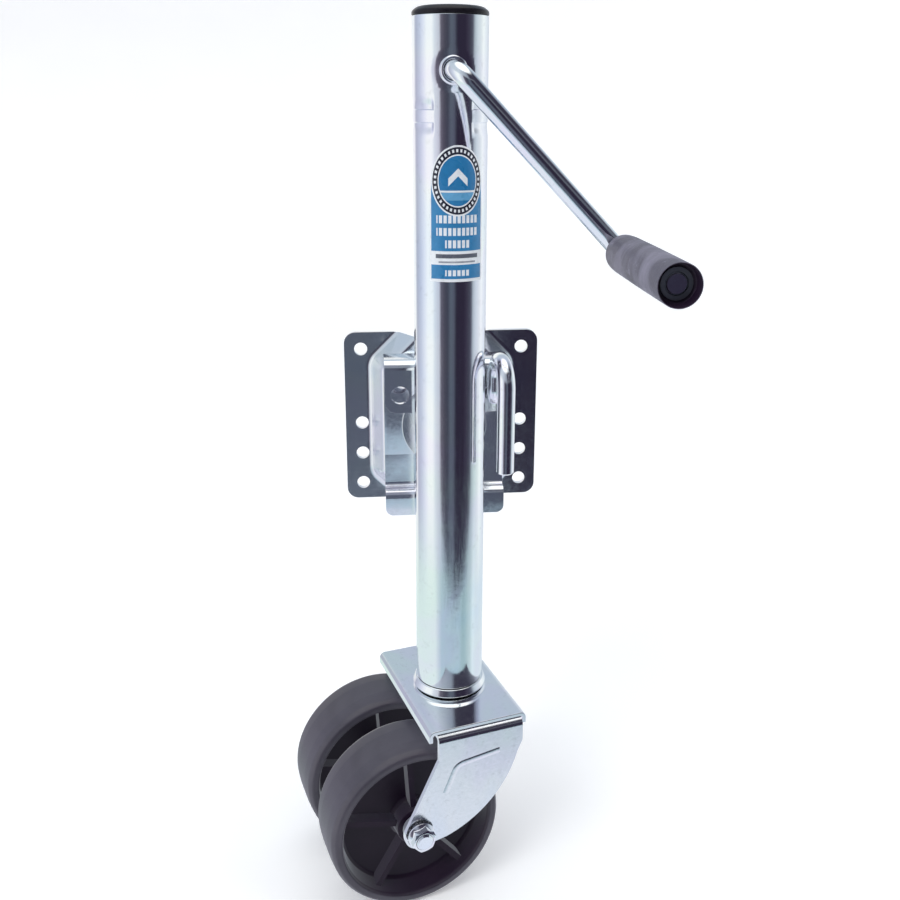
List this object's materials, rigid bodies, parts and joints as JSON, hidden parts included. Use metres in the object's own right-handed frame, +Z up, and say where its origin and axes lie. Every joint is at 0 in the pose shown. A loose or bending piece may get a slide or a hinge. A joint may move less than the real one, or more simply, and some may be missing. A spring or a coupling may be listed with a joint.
{
  "type": "trailer tongue jack",
  "caption": "Swing-up trailer tongue jack: side-crank telescoping steel leg on a pivoting frame bracket with a twin-wheel swivel caster.",
  "frame": {"origin": "centre of the mounting plate's back face, the plane that bolts to the trailer frame", "axes": "+Z up along the leg, -Y away from the trailer frame towards the crank, X along the frame rail"},
  "size_m": [0.2428, 0.2623, 0.6446],
  "materials": {
    "zinc_steel": "bright zinc plating",
    "plate_zinc": "grey zinc plating",
    "dark_steel": "plain steel, oiled",
    "spring_steel": "zinc-plated spring wire",
    "bronze": "machined bronze",
    "cap_plastic": "satin moulded",
    "grip_vinyl": "soft vinyl",
    "wheel_plastic": "moulded polypropylene",
    "bush_plastic": "natural acetal",
    "label_film": "printed vinyl film"
  },
  "bodies": {
    "trailer_bracket": {"mount_plate": "plate_zinc", "pivot_rivet": "zinc_steel", "pivot_washer": "zinc_steel"},
    "jack": {"swivel_bracket": "zinc_steel", "tube_saddle": "zinc_steel", "outer_tube": "zinc_steel", "top_cap": "cap_plastic", "label": "label_film", "crank_bushing_front": "zinc_steel", "crank_bushing_rear": "zinc_steel", "bearing_plate": "dark_steel", "pin_spring": "spring_steel"},
    "lock_pin": {"pull_pin": "zinc_steel", "pin_collar": "zinc_steel"},
    "crank": {"crank_handle": "zinc_steel", "crank_clip": "dark_steel", "drive_pinion": "dark_steel", "pinion_pin": "dark_steel", "grip_retainer": "dark_steel"},
    "grip": {"hand_grip": "grip_vinyl"},
    "screw": {"lift_screw": "dark_steel", "driven_gear": "dark_steel", "gear_pin": "dark_steel", "thrust_bearing": "dark_steel", "screw_stop": "dark_steel"},
    "slide": {"inner_tube": "zinc_steel", "lift_nut": "bronze", "tube_base": "zinc_steel", "swivel_ring": "zinc_steel", "kingpin": "dark_steel"},
    "caster": {"swivel_washer": "dark_steel", "cover_plate": "zinc_steel", "caster_yoke": "zinc_steel", "axle_bolt": "zinc_steel", "axle_nut": "zinc_steel", "tooth_washer": "dark_steel", "axle_washer_near": "dark_steel", "axle_washer_far": "dark_steel", "axle_spacer": "dark_steel"},
    "near_wheel": {"wheel_near": "wheel_plastic", "wheel_bushing_near": "bush_plastic"},
    "far_wheel": {"wheel_far": "wheel_plastic", "wheel_bushing_far": "bush_plastic"}
  },
  "joints": [
    {"name": "jack_swing", "type": "hinge", "parent": "trailer_bracket", "child": "jack", "pos_m": [0, -0.025, 0], "axis": [0, 1, 0], "range_deg": [-90, 90]},
    {"name": "pin_pull", "type": "slide", "parent": "jack", "child": "lock_pin", "axis": [0, -1, 0], "range_m": [-0.0058, 0.004], "deforming": ["pin_spring"]},
    {"name": "crank_turn", "type": "hinge", "parent": "jack", "child": "crank", "pos_m": [0, -0.0795, 0.2618], "axis": [0, 1, 0], "range_deg": [0, 17280]},
    {"name": "grip_spin", "type": "hinge", "parent": "crank", "child": "grip", "pos_m": [0.1072, -0.2, 0.1487], "axis": [0, 1, 0], "continuous": true},
    {"name": "screw_spin", "type": "hinge", "parent": "jack", "child": "screw", "pos_m": [0, -0.0795, 0], "axis": [0, 0, 1], "range_deg": [-11520, 0]},
    {"name": "tube_slide", "type": "slide", "parent": "jack", "child": "slide", "axis": [0, 0, -1], "range_m": [0, 0.254]},
    {"name": "caster_swivel", "type": "hinge", "parent": "slide", "child": "caster", "pos_m": [0, -0.0795, -0.196], "axis": [0, 0, 1], "continuous": true},
    {"name": "near_wheel_roll", "type": "hinge", "parent": "caster", "child": "near_wheel", "pos_m": [-0.04518, -0.09245, -0.2765], "axis": [0.2756, -0.9613, 0], "continuous": true},
    {"name": "far_wheel_roll", "type": "hinge", "parent": "caster", "child": "far_wheel", "pos_m": [-0.04518, -0.09245, -0.2765], "axis": [0.2756, -0.9613, 0], "continuous": true}
  ],
  "couplings": [
    {"joint": "screw_spin", "follows": "crank_turn", "ratio": -0.66667},
    {"joint": "tube_slide", "follows": "crank_turn", "m_per_rad": 0.00084219}
  ]
}
